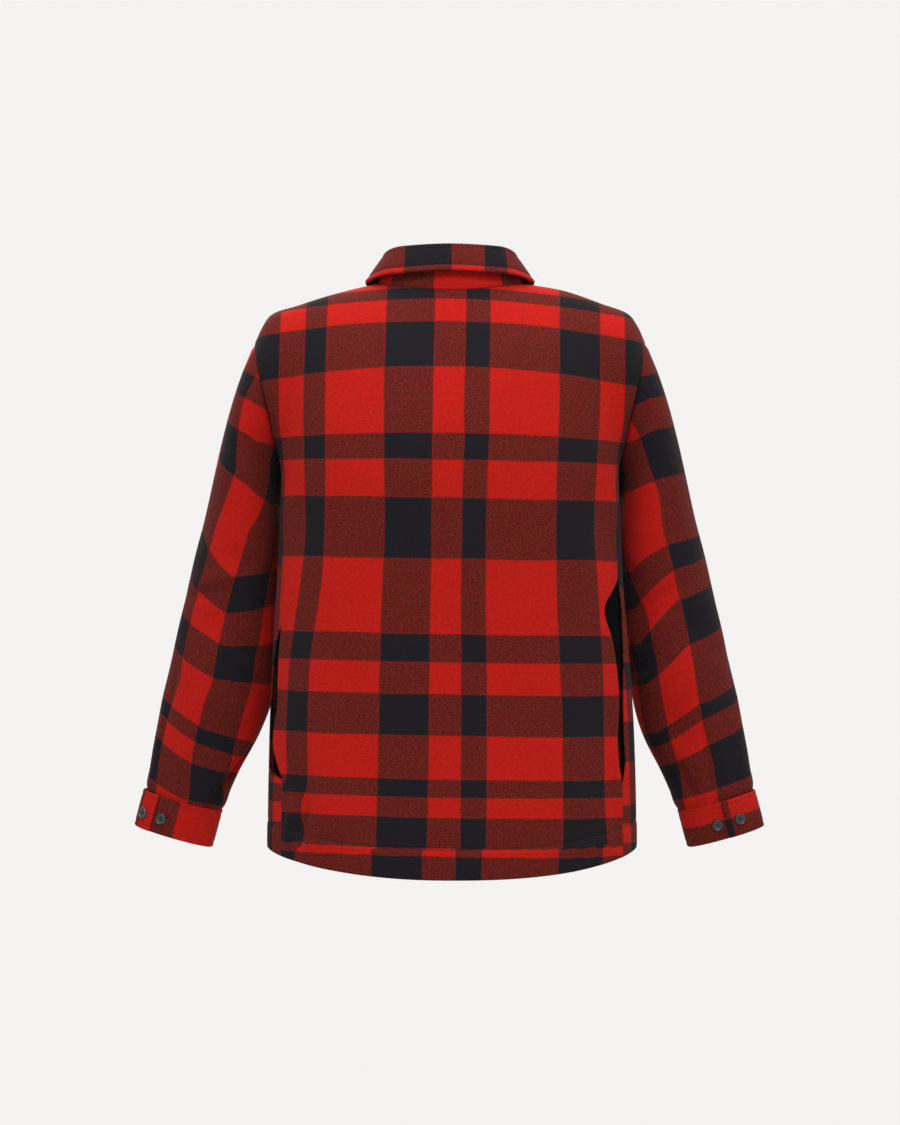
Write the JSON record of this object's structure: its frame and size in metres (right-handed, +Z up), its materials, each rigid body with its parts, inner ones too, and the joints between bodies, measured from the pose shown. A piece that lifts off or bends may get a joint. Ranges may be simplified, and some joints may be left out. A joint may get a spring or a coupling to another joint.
{
  "type": "mackinaw jacket",
  "caption": "Wool mackinaw jacket with a shirt collar, buttoned front, long cuffed sleeves and side pockets, in its hollow worn shape.",
  "frame": {"origin": "middle of the line between the two points where the shoulders meet the neck", "axes": "+Z up, +Y towards the buttoned front, +X towards the wearer's right"},
  "size_m": [0.803, 0.276, 0.7817],
  "materials": {
    "plaid_wool": "brushed melton wool in a red, dark red and black plaid",
    "pocket_cloth": "matt black cotton twill",
    "button": "dark grey moulded, satin, four holes"
  },
  "bodies": {
    "root": {"back": "plaid_wool", "front_left": "plaid_wool", "front_right": "plaid_wool", "sleeve_left": "plaid_wool", "sleeve_right": "plaid_wool", "cuff_left": "plaid_wool", "cuff_right": "plaid_wool", "collar_stand": "plaid_wool", "collar_fall": "plaid_wool", "pocket_left": "pocket_cloth", "pocket_right": "pocket_cloth", "cuff_left_button_fastened": "button", "cuff_left_button_spare": "button", "cuff_right_button_fastened": "button", "cuff_right_button_spare": "button", "front_button_1": "button", "front_button_2": "button", "front_button_3": "button", "front_button_4": "button", "front_button_5": "button", "front_button_6": "button"}
  },
  "joints": []
}
